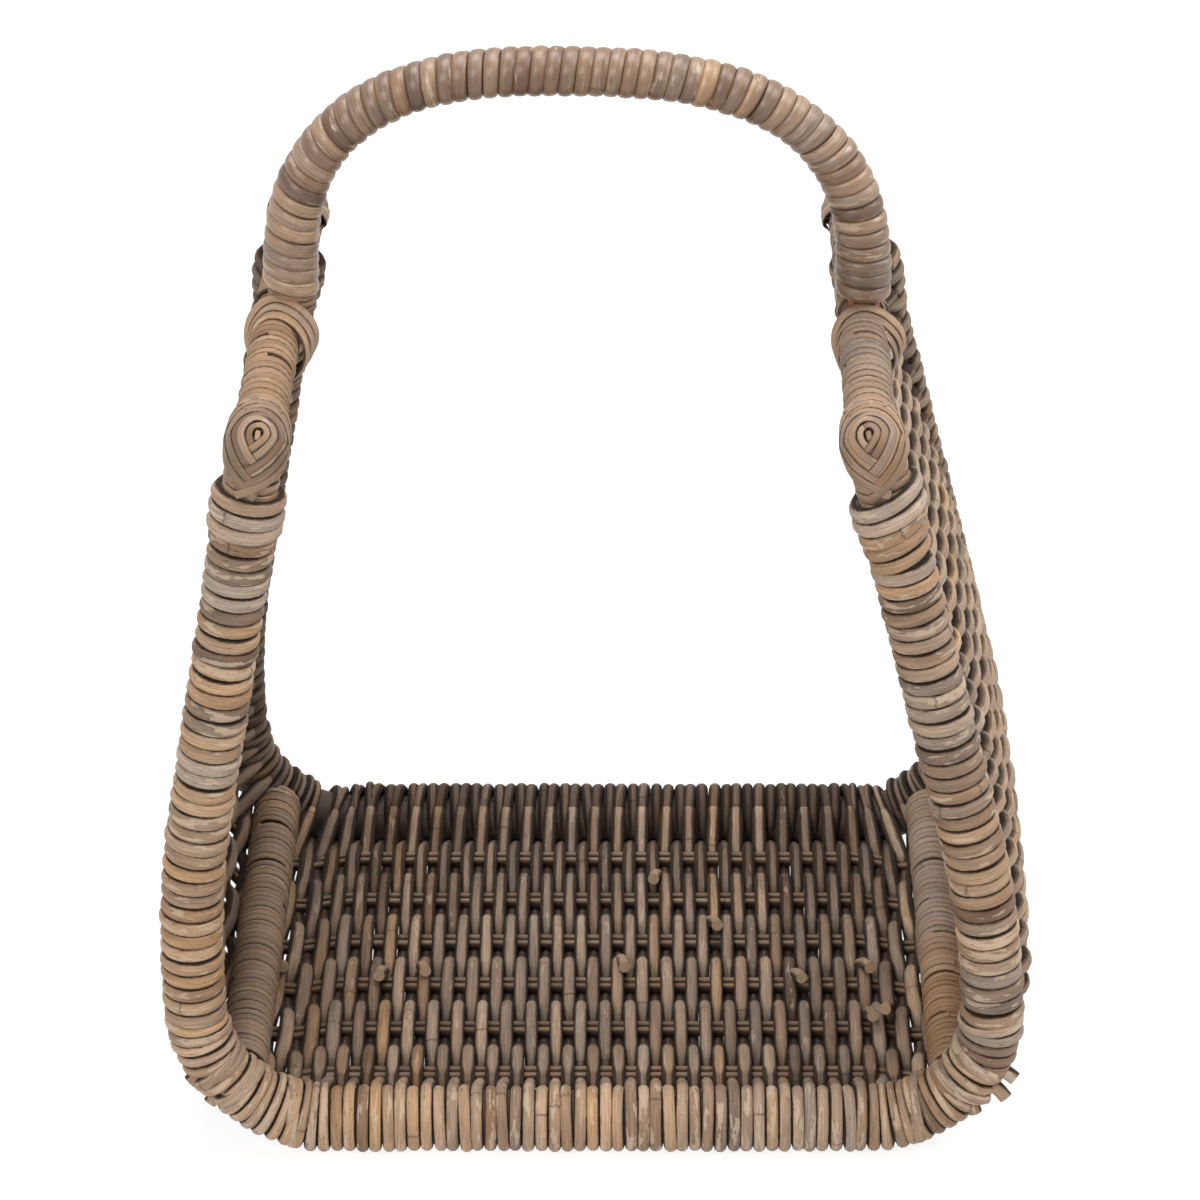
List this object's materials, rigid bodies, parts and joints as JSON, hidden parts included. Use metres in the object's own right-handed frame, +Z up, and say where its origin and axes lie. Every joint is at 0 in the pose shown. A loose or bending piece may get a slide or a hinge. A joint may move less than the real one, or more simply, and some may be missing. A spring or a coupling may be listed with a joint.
{
  "type": "trug basket",
  "caption": "Rattan log carrier: a woven cradle open at front and back, slung between two bent rims, with straight top bars under an arched wrapped handle.",
  "frame": {"origin": "centre of the bounding box on the ground plane that the basket stands on", "axes": "+X to the basket's right, -Y to its open front, +Z up through the handle"},
  "size_m": [0.4042, 0.2814, 0.4998],
  "materials": {
    "rattan_pole": "bare brown cane, satin",
    "rattan_rim": "weathered round cane, grey-brown, satin",
    "rattan_peel": "flat rattan peel, satin",
    "rattan_weave": "woven round cane, dull grey-brown",
    "rattan_stake": "split cane, pale tan",
    "rattan_handle": "glossy round cane, brown"
  },
  "bodies": {
    "root": {"front_frame_pole": "rattan_pole", "back_frame_pole": "rattan_pole", "left_corner_pole": "rattan_pole", "right_corner_pole": "rattan_pole", "left_top_bar": "rattan_pole", "right_top_bar": "rattan_pole", "handle_pole": "rattan_pole", "front_rim_binding": "rattan_rim", "back_rim_binding": "rattan_rim", "left_corner_binding": "rattan_peel", "right_corner_binding": "rattan_peel", "left_bar_front_binding": "rattan_peel", "left_bar_back_binding": "rattan_peel", "right_bar_front_binding": "rattan_peel", "right_bar_back_binding": "rattan_peel", "left_front_cap": "rattan_peel", "left_back_cap": "rattan_peel", "right_front_cap": "rattan_peel", "right_back_cap": "rattan_peel", "left_handle_lashing": "rattan_peel", "right_handle_lashing": "rattan_peel", "floor_weave": "rattan_weave", "left_side_weave": "rattan_weave", "right_side_weave": "rattan_weave", "stake_1": "rattan_stake", "stake_2": "rattan_stake", "stake_3": "rattan_stake", "stake_4": "rattan_stake", "stake_5": "rattan_stake", "stake_6": "rattan_stake", "handle_binding": "rattan_handle"}
  },
  "joints": []
}
